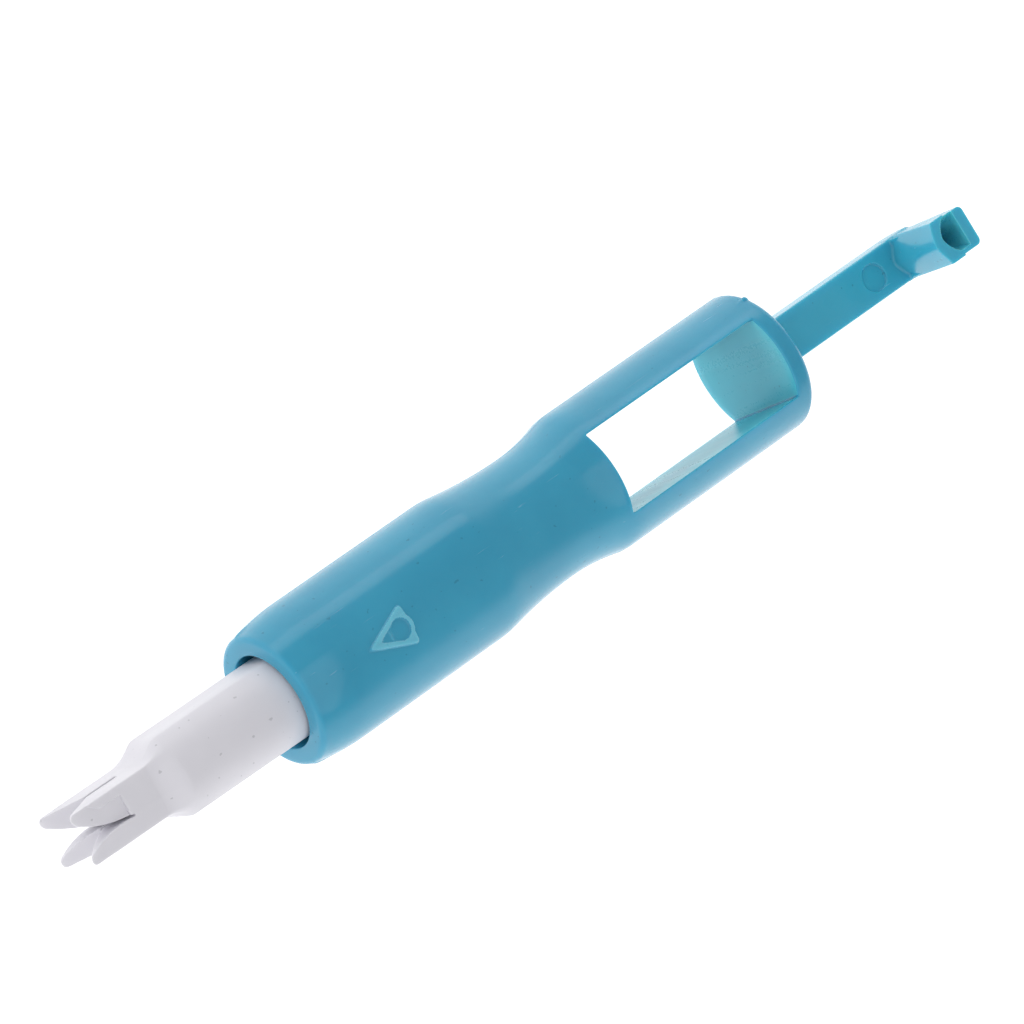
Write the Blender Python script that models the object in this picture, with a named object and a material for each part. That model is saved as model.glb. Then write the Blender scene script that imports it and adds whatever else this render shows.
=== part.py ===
"""Needle threader and needle inserter for sewing machines.

A turned, waisted handle carries a needle-holding column on an arm at one end. At the other
end a forked nose slides on a pin carrier: pushed back against its spring, it uncovers a fine
threading pin in the floor of its V notch.

Frame: the tool lies along X with the fork towards -X and the needle holder towards +X.
+Z is up, away from the surface that the handle rests on, and the origin is on that surface
under the middle of the tool's length. Every part is modelled about the tool's own axis.
"""
import math

import bmesh
import bpy
from mathutils import Vector

MM = 0.001

# Handle (all lengths in metres, x measured along the tool's axis)
HANDLE_R = 6.5 * MM
WAIST_R = 5.72 * MM
MOUTH_R = 5.85 * MM
BORE_R = 4.31 * MM
EDGE_R = 0.35 * MM
MOUTH_X = -27.95 * MM
TAPER_END_X = -22.9 * MM
WAIST_X = 2.0 * MM
WAIST_CURVE_FRONT = 46.0 * MM
WAIST_CURVE_REAR = 19.5 * MM
WAIST_BLEND = 0.14 * MM
WAIST_FRONT_X = -8.5 * MM
WAIST_REAR_X = 9.0 * MM
HANDLE_END_X = 28.95 * MM
BORE_FLOOR_X = 3.0 * MM

# Window cut straight through the rear of the handle
WINDOW_FRONT_X = 7.3 * MM
WINDOW_REAR_X = 27.08 * MM
WINDOW_HALF_W = 3.79 * MM

# Arrow mark raised on the handle
MARK_TIP_X = -21.5 * MM
MARK_BASE_X = -16.95 * MM
MARK_HALF_W = 1.7 * MM
MARK_Y = -0.36 * MM
MARK_RISE = 0.22 * MM

# Arm and needle holder
ARM_HALF_W = 2.1 * MM
ARM_TOP_Z = -0.75 * MM
ARM_BOTTOM_Z = -3.82 * MM
TOOL_END_X = 50.0 * MM
ARM_END_X = TOOL_END_X - 0.05 * MM
HEEL = 1.1 * MM
HEEL_BLEND = 0.33 * MM
HOLDER_TOP_Z = 7.26 * MM
HOLDER_BLOCK_X = 47.9 * MM
HOLDER_FOOT_X = 46.76 * MM
HOLDER_NOSE_X = 45.67 * MM
HOLDER_HALF_W = 1.93 * MM
HOLDER_BASE_HALF_W = 2.06 * MM
HOLDER_CORNER_R = 0.5 * MM
HOLDER_BOW_POWER = 1.15
SOCKET_X = 47.85 * MM
SOCKET_R = 1.03 * MM
SOCKET_FLOOR_Z = -2.6 * MM
FUNNEL_FRONT_X = 46.65 * MM
FUNNEL_REAR_X = 48.85 * MM
FUNNEL_HALF_W = 1.6 * MM
FUNNEL_BOTTOM_Z = 4.6 * MM
FUNNEL_POWER = 1.4

# Forked nose
NOSE_TIP_X = -50.0 * MM
NOSE_REAR_X = -13.5 * MM
NOSE_R = 3.98 * MM
NOSE_FLAT = 3.55 * MM
NOSE_ROLL = math.radians(7.5)
FORK_HALF_W = 2.28 * MM
FORK_HALF_H = 2.7 * MM
SHOULDER_FRONT_X = -42.2 * MM
SHOULDER_REAR_X = -39.6 * MM
V_HALF_W = 1.5 * MM
V_DEPTH = 4.4 * MM
V_FLOOR_HALF_W = 0.1 * MM
V_CURVE = 1.6
THREAD_V_HALF_H = 2.45 * MM
THREAD_V_DEPTH = 3.3 * MM
SLIT_HALF_H = 0.25 * MM
SLIT_END_X = -43.4 * MM
CAVITY_R = 2.3 * MM
CAVITY_FRONT_X = -21.5 * MM
FLANGE_FRONT_X = -15.2 * MM
FLANGE_R = 1.6 * MM
PIN_CHANNEL_R = 0.55 * MM

# Pin carrier, pin and return spring
CARRIER_DISC_R = 4.0 * MM
CARRIER_STEM_R = 1.3 * MM
CARRIER_HEAD_R = 1.95 * MM
CARRIER_REAR_X = 2.7 * MM
CARRIER_DISC_FRONT_X = 0.5 * MM
CARRIER_HEAD_REAR_X = -15.5 * MM
CARRIER_FRONT_X = -17.0 * MM
PIN_R = 0.22 * MM
PIN_TIP_R = 0.1 * MM
PIN_TIP_X = -44.9 * MM
PIN_TAPER = 1.4 * MM
PIN_REAR_X = -8.0 * MM
PIN_SEAT_X = -7.7 * MM
SPRING_R = 2.75 * MM
SPRING_WIRE_R = 0.22 * MM
SPRING_TURNS = 8
SPRING_END_TURNS = 0.9
SPRING_END_PITCH = 0.6 * MM
SPRING_WIRE_SIDES = 6
CHAMFER = 0.25 * MM
GAP = 0.3 * MM

# Facets, and how far fused shapes and cutters reach past the surfaces that they meet
ROUND_STEPS = 48
SMALL_STEPS = 24
PIN_STEPS = 12
SPRING_STEPS = 20
BOW_STEPS = 12
CORNER_STEPS = 3
EDGE_STEPS = 4
V_STEPS = 6
OVERCUT = 1.0 * MM
MARK_ROOT = 0.6 * MM
ARM_ROOT = 1.0 * MM
HOLDER_ROOT = 0.6 * MM


def clear_scene():
    for obj in list(bpy.data.objects):
        bpy.data.objects.remove(obj, do_unlink=True)


def make_material(name, colour, roughness, metallic):
    material = bpy.data.materials.new(name)
    material.use_nodes = True
    shader = material.node_tree.nodes["Principled BSDF"]
    shader.inputs["Base Color"].default_value = (*colour, 1.0)
    shader.inputs["Roughness"].default_value = roughness
    shader.inputs["Metallic"].default_value = metallic
    return material


def add_object(name, bm):
    """Make an object about the tool's axis from a bmesh that is closed."""
    bmesh.ops.recalc_face_normals(bm, faces=bm.faces)
    mesh = bpy.data.meshes.new(name)
    bm.to_mesh(mesh)
    bm.free()
    obj = bpy.data.objects.new(name, mesh)
    bpy.context.scene.collection.objects.link(obj)
    return obj


def lathe(profile, steps=ROUND_STEPS):
    """Turn (x, radius) points about the X axis; the first and last points get flat caps."""
    bm = bmesh.new()
    rings = []
    for x, radius in profile:
        ring = []
        for i in range(steps):
            angle = 2 * math.pi * i / steps
            ring.append(bm.verts.new((x, radius * math.cos(angle), radius * math.sin(angle))))
        rings.append(ring)
    for a, b in zip(rings, rings[1:]):
        for i in range(steps):
            j = (i + 1) % steps
            bm.faces.new((a[i], a[j], b[j], b[i]))
    bm.faces.new(rings[0])
    bm.faces.new(rings[-1])
    return bm


def prism(outline, low, high, to_world):
    """Extrude a closed 2-D outline from low to high; to_world maps (u, v, height) to a point."""
    bm = bmesh.new()
    bottom = [bm.verts.new(to_world(u, v, low)) for u, v in outline]
    top = [bm.verts.new(to_world(u, v, high)) for u, v in outline]
    count = len(outline)
    for i in range(count):
        j = (i + 1) % count
        bm.faces.new((bottom[i], bottom[j], top[j], top[i]))
    bm.faces.new(bottom)
    bm.faces.new(top)
    return bm


def plan(u, v, height):
    """Outline in X and Y, extruded along Z."""
    return Vector((u, v, height))


def side(u, v, height):
    """Outline in X and Z, extruded along Y."""
    return Vector((u, height, v))


def loft(sections):
    """Join closed sections that have the same number of points, and cap both ends."""
    bm = bmesh.new()
    rings = [[bm.verts.new(point) for point in section] for section in sections]
    count = len(rings[0])
    for a, b in zip(rings, rings[1:]):
        for i in range(count):
            j = (i + 1) % count
            bm.faces.new((a[i], a[j], b[j], b[i]))
    bm.faces.new(rings[0])
    bm.faces.new(rings[-1])
    return bm


def boolean(obj, other, operation):
    """Apply one exact Boolean and remove the tool that made it."""
    modifier = obj.modifiers.new(operation.lower(), "BOOLEAN")
    modifier.operation = operation
    modifier.solver = "EXACT"
    modifier.object = other
    bpy.context.view_layer.update()
    shaped = bpy.data.meshes.new_from_object(obj.evaluated_get(bpy.context.evaluated_depsgraph_get()))
    obj.modifiers.clear()
    old = obj.data
    obj.data = shaped
    bpy.data.meshes.remove(old)
    bpy.data.objects.remove(other, do_unlink=True)


def finish_object(obj, material):
    obj.data.materials.clear()
    obj.data.materials.append(material)
    obj.data.shade_smooth()
    obj.data.set_sharp_from_angle(angle=math.radians(32))


def smooth_min(a, b, blend):
    """The smaller of two values, rounded where they cross."""
    h = max(0.0, min(1.0, 0.5 + 0.5 * (b - a) / blend))
    return b + (a - b) * h - blend * h * (1 - h)


def handle_radius(x):
    """Outer radius of the handle: a cylinder with a bowed front taper and a waist."""
    taper_curve = (TAPER_END_X - MOUTH_X) ** 2 / (2 * (HANDLE_R - MOUTH_R))
    front = HANDLE_R - min(0.0, x - TAPER_END_X) ** 2 / (2 * taper_curve)
    curve = WAIST_CURVE_FRONT if x < WAIST_X else WAIST_CURVE_REAR
    waist = WAIST_R + (x - WAIST_X) ** 2 / (2 * curve)
    return smooth_min(front, waist, WAIST_BLEND)


def edge_round(x_face, radius, direction):
    """Quarter circle from a flat end face round to the outer wall."""
    points = []
    for i in range(EDGE_STEPS + 1):
        angle = 0.5 * math.pi * i / EDGE_STEPS
        points.append((x_face + direction * EDGE_R * (1 - math.sin(angle)),
                       radius - EDGE_R * (1 - math.cos(angle))))
    return points[::-1]


def spread(low, high, steps):
    return [low + (high - low) * i / steps for i in range(steps + 1)]


def holder_section(z, front_x, half_w):
    """Plan of the needle holder: a bowed front, and a square rear with round corners."""
    points = []
    for i in range(BOW_STEPS + 1):
        angle = 0.5 * math.pi * (1 + 2 * i / BOW_STEPS)
        reach = (HOLDER_BLOCK_X - front_x) * abs(math.cos(angle)) ** HOLDER_BOW_POWER
        points.append(Vector((HOLDER_BLOCK_X - reach, half_w * math.sin(angle), z)))
    for sign, start in ((-1, -0.5 * math.pi), (1, 0.0)):
        for i in range(CORNER_STEPS + 1):
            angle = start + 0.5 * math.pi * i / CORNER_STEPS
            points.append(Vector((TOOL_END_X - HOLDER_CORNER_R * (1 - math.cos(angle)),
                                  sign * (half_w - HOLDER_CORNER_R)
                                  + HOLDER_CORNER_R * math.sin(angle), z)))
    return points


def socket_section(z, spread_out):
    """Needle socket: round (0) below, opening to a flat-backed V mouth (1) at the top."""
    points = []
    for i in range(SMALL_STEPS):
        angle = 2 * math.pi * (i + 0.5) / SMALL_STEPS
        dx, dy = math.cos(angle), math.sin(angle)
        if dx > 0:
            reach = min((FUNNEL_REAR_X - SOCKET_X) / dx, FUNNEL_HALF_W / abs(dy))
        else:
            depth = SOCKET_X - FUNNEL_FRONT_X
            reach = (abs(dx / depth) ** FUNNEL_POWER
                     + abs(dy / FUNNEL_HALF_W) ** FUNNEL_POWER) ** (-1 / FUNNEL_POWER)
        radius = SOCKET_R + (reach - SOCKET_R) * spread_out
        points.append(Vector((SOCKET_X + radius * dx, radius * dy, z)))
    return points


def make_handle(material):
    """Handle, arm and needle holder, which are one moulding."""
    profile = edge_round(MOUTH_X, MOUTH_R, 1)
    profile += [(x, handle_radius(x)) for x in
                spread(MOUTH_X + EDGE_R, TAPER_END_X, 5)[1:]
                + spread(WAIST_FRONT_X, WAIST_X, 12) + spread(WAIST_X, WAIST_REAR_X, 9)[1:]]
    profile += edge_round(HANDLE_END_X, HANDLE_R, -1)[::-1]
    handle = add_object("handle", lathe(profile))

    arrow = [(MARK_TIP_X, MARK_Y), (MARK_BASE_X, MARK_Y - MARK_HALF_W),
             (MARK_BASE_X, MARK_Y + MARK_HALF_W)]
    mark = prism(arrow, HANDLE_R - MARK_ROOT, HANDLE_R + MARK_RISE, plan)
    boolean(handle, add_object("mark", mark), "UNION")

    arm_start = HANDLE_END_X - ARM_ROOT
    arm_side = [(arm_start, ARM_BOTTOM_Z), (ARM_END_X - HEEL, ARM_BOTTOM_Z),
                (ARM_END_X - HEEL_BLEND, ARM_BOTTOM_Z + HEEL_BLEND),
                (ARM_END_X, ARM_BOTTOM_Z + HEEL), (ARM_END_X, ARM_TOP_Z), (arm_start, ARM_TOP_Z)]
    arm = prism(arm_side, -ARM_HALF_W, ARM_HALF_W, side)
    boolean(handle, add_object("arm", arm), "UNION")

    holder = loft([holder_section(ARM_TOP_Z - HOLDER_ROOT, HOLDER_FOOT_X, HOLDER_BASE_HALF_W),
                   holder_section(HOLDER_TOP_Z, HOLDER_NOSE_X, HOLDER_HALF_W)])
    boolean(handle, add_object("holder", holder), "UNION")

    bore = lathe([(MOUTH_X - OVERCUT, BORE_R), (BORE_FLOOR_X, BORE_R)])
    boolean(handle, add_object("bore", bore), "DIFFERENCE")
    window = prism([(WINDOW_FRONT_X, -WINDOW_HALF_W), (WINDOW_REAR_X, -WINDOW_HALF_W),
                    (WINDOW_REAR_X, WINDOW_HALF_W), (WINDOW_FRONT_X, WINDOW_HALF_W)],
                   -HANDLE_R - OVERCUT, HANDLE_R + OVERCUT, plan)
    boolean(handle, add_object("window", window), "DIFFERENCE")
    socket = loft([socket_section(SOCKET_FLOOR_Z, 0), socket_section(FUNNEL_BOTTOM_Z, 0),
                   socket_section(HOLDER_TOP_Z, 1), socket_section(HOLDER_TOP_Z + OVERCUT, 1)])
    boolean(handle, add_object("socket", socket), "DIFFERENCE")
    finish_object(handle, material)
    return handle


def nose_section(x, body_share):
    """Section of the nose: the rectangular fork (0) grows into the flat-sided bar (1)."""
    points = []
    for i in range(ROUND_STEPS):
        angle = 2 * math.pi * (i + 0.5) / ROUND_STEPS
        dy, dz = math.cos(angle), math.sin(angle)
        fork = min(FORK_HALF_W / abs(dy), FORK_HALF_H / abs(dz))
        bar = min(NOSE_FLAT / abs(dy), NOSE_R)
        radius = fork + (bar - fork) * body_share
        points.append(Vector((x, radius * dy, radius * dz)))
    return points


def make_nose(material):
    """Sliding nose with four prongs: a V for the needle, crossed by a V and slit for the thread."""
    sections = [nose_section(NOSE_TIP_X, 0.0)]
    for x in spread(SHOULDER_FRONT_X, SHOULDER_REAR_X, 6):
        t = (x - SHOULDER_FRONT_X) / (SHOULDER_REAR_X - SHOULDER_FRONT_X)
        sections.append(nose_section(x, t * t * (3 - 2 * t)))
    sections.append(nose_section(NOSE_REAR_X, 1.0))
    nose = add_object("threader_nose", loft(sections))

    edge = []
    for x in [NOSE_TIP_X - OVERCUT] + spread(NOSE_TIP_X, NOSE_TIP_X + V_DEPTH, V_STEPS):
        left = max(0.0, 1 - (x - NOSE_TIP_X) / V_DEPTH)
        edge.append((x, V_FLOOR_HALF_W + (V_HALF_W - V_FLOOR_HALF_W) * left ** V_CURVE))
    needle_v = prism(edge + [(x, -half_w) for x, half_w in reversed(edge)],
                     -FORK_HALF_H - OVERCUT, FORK_HALF_H + OVERCUT, plan)
    boolean(nose, add_object("needle_v", needle_v), "DIFFERENCE")

    beyond = OVERCUT / THREAD_V_DEPTH
    thread_v = prism([(NOSE_TIP_X - OVERCUT, -THREAD_V_HALF_H * (1 + beyond)),
                      (NOSE_TIP_X + THREAD_V_DEPTH, -SLIT_HALF_H), (SLIT_END_X, -SLIT_HALF_H),
                      (SLIT_END_X, SLIT_HALF_H), (NOSE_TIP_X + THREAD_V_DEPTH, SLIT_HALF_H),
                      (NOSE_TIP_X - OVERCUT, THREAD_V_HALF_H * (1 + beyond))],
                     -FORK_HALF_W - OVERCUT, FORK_HALF_W + OVERCUT, side)
    boolean(nose, add_object("thread_v", thread_v), "DIFFERENCE")

    inside = lathe([(NOSE_TIP_X + V_DEPTH - OVERCUT, PIN_CHANNEL_R), (CAVITY_FRONT_X, PIN_CHANNEL_R),
                    (CAVITY_FRONT_X, CAVITY_R), (FLANGE_FRONT_X, CAVITY_R),
                    (FLANGE_FRONT_X, FLANGE_R), (NOSE_REAR_X + OVERCUT, FLANGE_R)], SMALL_STEPS)
    boolean(nose, add_object("inside", inside), "DIFFERENCE")
    finish_object(nose, material)
    nose.rotation_euler[0] = NOSE_ROLL
    return nose


def make_pin_carrier(material):
    """Plug seated in the floor of the handle's bore; its head keeps the nose from falling out."""
    carrier = add_object("pin_carrier", lathe(
        [(CARRIER_FRONT_X, CARRIER_HEAD_R - CHAMFER), (CARRIER_FRONT_X + CHAMFER, CARRIER_HEAD_R),
         (CARRIER_HEAD_REAR_X, CARRIER_HEAD_R), (CARRIER_HEAD_REAR_X, CARRIER_STEM_R),
         (CARRIER_DISC_FRONT_X, CARRIER_STEM_R), (CARRIER_DISC_FRONT_X, CARRIER_DISC_R),
         (CARRIER_REAR_X, CARRIER_DISC_R)], SMALL_STEPS))
    seat = lathe([(CARRIER_FRONT_X - OVERCUT, PIN_CHANNEL_R), (PIN_SEAT_X, PIN_CHANNEL_R)],
                 SMALL_STEPS)
    boolean(carrier, add_object("seat", seat), "DIFFERENCE")
    finish_object(carrier, material)
    return carrier


def make_pin(material):
    """Fine pin that pushes the thread through the needle's eye."""
    pin = add_object("threading_pin", lathe(
        [(PIN_TIP_X, PIN_TIP_R), (PIN_TIP_X + PIN_TAPER, PIN_R), (PIN_REAR_X, PIN_R)], PIN_STEPS))
    finish_object(pin, material)
    return pin


def make_spring(material):
    """Compression spring on the carrier's stem, with closed end coils."""
    front = NOSE_REAR_X + GAP + SPRING_WIRE_R
    rear = CARRIER_DISC_FRONT_X - GAP - SPRING_WIRE_R
    total = SPRING_TURNS + 2 * SPRING_END_TURNS
    pitch = (rear - front - 2 * SPRING_END_TURNS * SPRING_END_PITCH) / SPRING_TURNS
    sections = []
    count = round(total * SPRING_STEPS)
    for i in range(count + 1):
        turn = total * i / count
        live = min(max(turn - SPRING_END_TURNS, 0.0), SPRING_TURNS)
        x = front + live * pitch + (turn - live) * SPRING_END_PITCH
        angle = 2 * math.pi * turn
        out = Vector((0, math.cos(angle), math.sin(angle)))
        ring = []
        for k in range(SPRING_WIRE_SIDES):
            around = 2 * math.pi * k / SPRING_WIRE_SIDES
            ring.append(Vector((x, 0, 0)) + out * (SPRING_R + SPRING_WIRE_R * math.cos(around))
                        + Vector((SPRING_WIRE_R * math.sin(around), 0, 0)))
        sections.append(ring)
    spring = add_object("return_spring", loft(sections))
    finish_object(spring, material)
    return spring


def main():
    clear_scene()
    blue = make_material("turquoise_plastic", (0.05, 0.42, 0.58), 0.25, 0.0)
    white = make_material("white_plastic", (0.80, 0.79, 0.84), 0.35, 0.0)
    steel = make_material("steel", (0.62, 0.62, 0.64), 0.3, 1.0)
    axis = bpy.data.objects.new("tool_axis", None)
    bpy.context.scene.collection.objects.link(axis)
    axis.location = (0, 0, HANDLE_R)
    for part in (make_handle(blue), make_nose(white), make_pin_carrier(white),
                 make_pin(steel), make_spring(steel)):
        part.parent = axis


main()
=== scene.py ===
"""Looks for the needle threader: every CAD node is replaced by a finely moulded piece.

Lengths are in millimetres, with x along the tool's axis and y, z measured from it.
"""
import math

import bmesh
import bpy
import numpy as np
from mathutils import Matrix, Vector


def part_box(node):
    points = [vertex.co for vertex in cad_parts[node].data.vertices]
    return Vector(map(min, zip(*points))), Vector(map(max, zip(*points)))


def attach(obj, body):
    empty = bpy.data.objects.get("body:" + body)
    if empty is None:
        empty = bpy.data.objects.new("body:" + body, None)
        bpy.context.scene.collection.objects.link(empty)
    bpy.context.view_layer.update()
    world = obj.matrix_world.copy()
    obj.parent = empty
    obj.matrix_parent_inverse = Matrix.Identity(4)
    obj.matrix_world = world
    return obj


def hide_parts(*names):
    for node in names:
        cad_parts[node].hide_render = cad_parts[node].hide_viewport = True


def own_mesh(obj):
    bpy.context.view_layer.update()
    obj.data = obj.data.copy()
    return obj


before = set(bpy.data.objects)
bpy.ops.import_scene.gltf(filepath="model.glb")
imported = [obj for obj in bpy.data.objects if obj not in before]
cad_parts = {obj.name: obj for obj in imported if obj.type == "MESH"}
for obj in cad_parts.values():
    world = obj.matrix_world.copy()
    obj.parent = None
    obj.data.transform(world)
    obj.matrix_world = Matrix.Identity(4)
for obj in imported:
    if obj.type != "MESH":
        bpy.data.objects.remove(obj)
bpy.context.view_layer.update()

MM = 0.001


def box_mm(node):
    low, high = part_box(node)
    return low / MM, high / MM


# Driving sizes, read from the frame
HANDLE_LOW, HANDLE_HIGH = box_mm("handle")
NOSE_LOW, NOSE_HIGH = box_mm("threader_nose")
PIN_LOW, PIN_HIGH = box_mm("threading_pin")
CARRIER_LOW, CARRIER_HIGH = box_mm("pin_carrier")
SPRING_LOW, SPRING_HIGH = box_mm("return_spring")
AXIS_Z = (PIN_LOW.z + PIN_HIGH.z) / 2
HANDLE_R = AXIS_Z - HANDLE_LOW.z
MOUTH_X = HANDLE_LOW.x
TOOL_END_X = HANDLE_HIGH.x
HOLDER_TOP_Z = HANDLE_HIGH.z - AXIS_Z
NOSE_TIP_X = NOSE_LOW.x
NOSE_REAR_X = NOSE_HIGH.x

# Handle
MOUTH_R = 5.85
BORE_R = 4.31
TAPER_END_X = MOUTH_X + 5.05
WAIST_R = 5.72
WAIST_X = 2.0
WAIST_CURVE_FRONT = 46.0
WAIST_CURVE_REAR = 19.5
WAIST_BLEND = 0.14
HANDLE_END_X = 28.95
BORE_FLOOR_X = 3.0
WINDOW_FRONT_X = 7.3
WINDOW_REAR_X = 27.08
WINDOW_HALF_W = 3.79
WINDOW_LEVELS = 12
WINDOW_RIM = 0.13
RIM_MIN_ANGLE = 0.6
MOUTH_EDGE = 0.55
REAR_EDGE = 0.6
HOLE_EDGE = 0.14
SEAM_ANGLE = 0.5 * math.pi
SEAM_SPAN = 0.05
SEAM_RISE = 0.025
FLASH_RISE = 0.09
NUB_X = 28.6
NUB_ANGLE = 0.97
NUB_SPAN = 0.06
NUB_LENGTH = 0.45
NUB_WIDTH = 0.05
NUB_RISE = 0.22

# Arrow mark
MARK_TIP_X = -21.65
MARK_BASE_X = -16.9
MARK_HALF_W = 1.8
MARK_Y = -0.36
MARK_RISE = 0.21
MARK_CORNER_R = 0.42
MARK_TIP_R = 0.16
DISC_X = -17.95
DISC_R = 1.0
BRIDGE_X = -19.05
# Share of the mark's rise above which faces take the painted highlight
PAINTED_RIM_SHARE = 0.66
BEAD_HALF_W = 0.27
BEAD_INSET = 0.2
MARK_FLOOR = 0.35
CORNER_RISE = 0.9
BRIDGE_RISE = 0.6
BRIDGE_HALF_W = 0.1
RING_RISE = 0.9
RING_HALF_W = 0.24
RING_OFFSET = 0.1
DISC_FLOOR = 0.12
MARK_GRID = 0.06
MARK_GRID_FRONT_X = -22.0
MARK_GRID_REAR_X = -16.2
MARK_GRID_HALF_W = 2.0

# Arm and needle holder
ARM_HALF_W = 2.1
ARM_TOP_Z = -0.75
ARM_BOTTOM_Z = -3.82
ARM_END_X = TOOL_END_X - 0.05
HOLDER_BLOCK_X = 47.9
HOLDER_FOOT_X = 46.76
HOLDER_NOSE_X = 45.67
DIMPLE_X = 44.05
DIMPLE_R = 1.25
SOCKET_X = 47.85
SOCKET_R = 1.03
SOCKET_FLOOR_Z = -2.6
SOCKET_TAPER = 0.25
FUNNEL_BOTTOM_Z = 4.6
FUNNEL_FRONT = 1.2
FUNNEL_REAR = 1.0
FUNNEL_HALF_W = 1.66
FUNNEL_POWER = 1.5
FUNNEL_SHIFT_Y = 0.22
FIELD_SLACK = 0.85
ARM_EDGE = 0.25
ARM_CORNER_R = 0.5
ARM_ROOT = 0.5
HEEL = 1.1
HEEL_R = 0.4
DIMPLE_DEPTH = 0.2
BOW_DEPTH = 1.3
BOW_LOSS = 0.5
BOW_NOSE_R = 0.42
BLOCK_HALF_W = 1.93
BLOCK_CORNER_R = 0.5
COLUMN_ROOT = 1.2
COLUMN_FILLET = 0.3

# Forked nose
NOSE_R = 3.98
NOSE_FLAT = 3.55
NOSE_ROLL = math.radians(7.5)
NOSE_LEAN = 0.0105
FORK_HALF_W = 2.27
FORK_HALF_H = 2.7
FORK_ROOF = 0.1
TIP_R = 0.45
TIP_V_R = 0.3
SHOULDER_FRONT_X = -42.2
SHOULDER_REAR_X = -39.6
V_HALF_W = 1.5
V_DEPTH = 5.2
V_CURVE = 2.4
V_FLOOR = 0.1
V_SKEW = 0.55
PIN_GROOVE_R = 0.32
PIN_GROOVE_RUN = 2.4
RECESS_START = 1.6
RECESS_SLOPE = 0.68
RECESS_HALF_W = 1.48
RECESS_END = 4.85
RECESS_DEPTH = 0.1
RECESS_SAG = 0.3
THREAD_V_HALF_H = 2.45
THREAD_V_DEPTH = 3.3
SLIT_HALF_H = 0.25
SLIT_END_X = -43.4
CAVITY_R = 2.3
CAVITY_FRONT_X = -21.5
FLANGE_FRONT_X = -15.2
FLANGE_R = 1.6
PIN_CHANNEL_R = 0.55

# Hidden workings
CARRIER_STEM_R = 1.3
CARRIER_HEAD_R = 1.95
CARRIER_HEAD_REAR_X = -15.5
CARRIER_DISC_FRONT_X = 0.5
PIN_SEAT_X = -7.7
PIN_TIP_R = 0.1
PIN_TAPER = 1.4
SPRING_R = 2.75
SPRING_WIRE_R = 0.22
SPRING_TURNS = 8
SPRING_END_TURNS = 0.9
SPRING_END_PITCH = 0.6

# Camera, at the photograph's viewing angle, its place in metres
CAMERA_AT = Vector((-0.26397, 0.05289, 0.45311))
CAMERA_RIGHT = Vector((0.70584, -0.52272, 0.47807))
CAMERA_UP = Vector((0.49473, 0.84679, 0.19543))
CAMERA_LENS = 222.44

# Light: sky and floor as strengths, the horizon's band as heights on a unit sphere
SKY_LIGHT = 0.45
HORIZON_LIGHT = 1.25
HORIZON_TOP = 0.55
HORIZON_FOOT = 0.12
FLOOR_LIGHT = 1.0

# Lamps, in watts, and the floor's half width in metres
SIDE_LIGHT = 0.5
TOP_LIGHT = 3.7
FLOOR_HALF_W = 1.2

# Grid steps of the pieces made from distance fields
FINE_STEP = 0.08
ARM_STEP = 0.085

# How far red, green and blue scatter in the turquoise plastic, as shares
TURQUOISE_SCATTER = (0.4, 1.0, 1.1)


# ---------------------------------------------------------------- shapes as distance fields

def step01(value, start, end):
    """Smooth 0 to 1 as value goes from start to end."""
    t = np.clip((value - start) / (end - start), 0.0, 1.0)
    return t * t * (3 - 2 * t)


def both(a, b, radius):
    """Intersection of two solids, its convex edge rounded to the radius."""
    corner = np.hypot(np.maximum(a + radius, 0.0), np.maximum(b + radius, 0.0))
    return np.minimum(-radius, np.maximum(a, b)) + corner


def either(a, b, radius):
    """Union of two solids, with a fillet of the radius."""
    return -both(-a, -b, radius)


def without(a, b, radius):
    """Solid a with b cut away, its rim rounded to the radius."""
    return both(a, -b, radius)


def surface_net(solid, xs, ys, zs):
    """Quads on the zero level of solid(x, y, z), sampled on a grid that may have uneven steps."""
    axes = (xs, ys, zs)
    field = solid(*np.meshgrid(xs, ys, zs, indexing="ij"))
    inside = field < 0
    shape = tuple(n - 1 for n in field.shape)
    corners = [(i, j, k) for i in (0, 1) for j in (0, 1) for k in (0, 1)]
    count = sum(inside[i:i + shape[0], j:j + shape[1], k:k + shape[2]].astype(np.int8)
                for i, j, k in corners)
    cells = np.argwhere((count > 0) & (count < 8))
    index = np.full(shape, -1)
    index[tuple(cells.T)] = np.arange(len(cells))
    total = np.zeros((len(cells), 3))
    crossings = np.zeros(len(cells))
    for axis in range(3):
        for i in (0, 1):
            for j in (0, 1):
                low = np.insert(np.array([i, j]), axis, 0)
                high = np.insert(np.array([i, j]), axis, 1)
                a = field[tuple((cells + low).T)]
                b = field[tuple((cells + high).T)]
                cut = (a < 0) != (b < 0)
                share = np.where(cut, a / np.where(cut, a - b, 1.0), 0.0)
                for k in range(3):
                    p = axes[k][cells[:, k] + low[k]]
                    q = axes[k][cells[:, k] + high[k]]
                    total[:, k] += np.where(cut, p + (q - p) * share, 0.0)
                crossings += cut
    points = total / crossings[:, None]
    faces = []
    for axis in range(3):
        low = [slice(1, -1)] * 3
        high = [slice(1, -1)] * 3
        low[axis], high[axis] = slice(0, -1), slice(1, None)
        a, b = inside[tuple(low)], inside[tuple(high)]
        edges = np.argwhere(a != b)
        offset = np.ones(3, int)
        offset[axis] = 0
        base = edges + offset
        u, v = np.eye(3, dtype=int)[(axis + 1) % 3], np.eye(3, dtype=int)[(axis + 2) % 3]
        ring = np.stack([index[tuple((base - s * u - t * v).T)]
                         for s, t in ((1, 1), (0, 1), (0, 0), (1, 0))], 1)
        flip = b[tuple(edges.T)]
        ring[flip] = ring[flip][:, ::-1]
        faces.append(ring)
    return points, np.concatenate(faces)


def gradient(solid, points, reach=0.004):
    slopes = []
    for axis in range(3):
        step = np.zeros(3)
        step[axis] = reach
        slopes.append(solid(*(points + step).T) - solid(*(points - step).T))
    return np.stack(slopes, 1) / (2 * reach)


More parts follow.
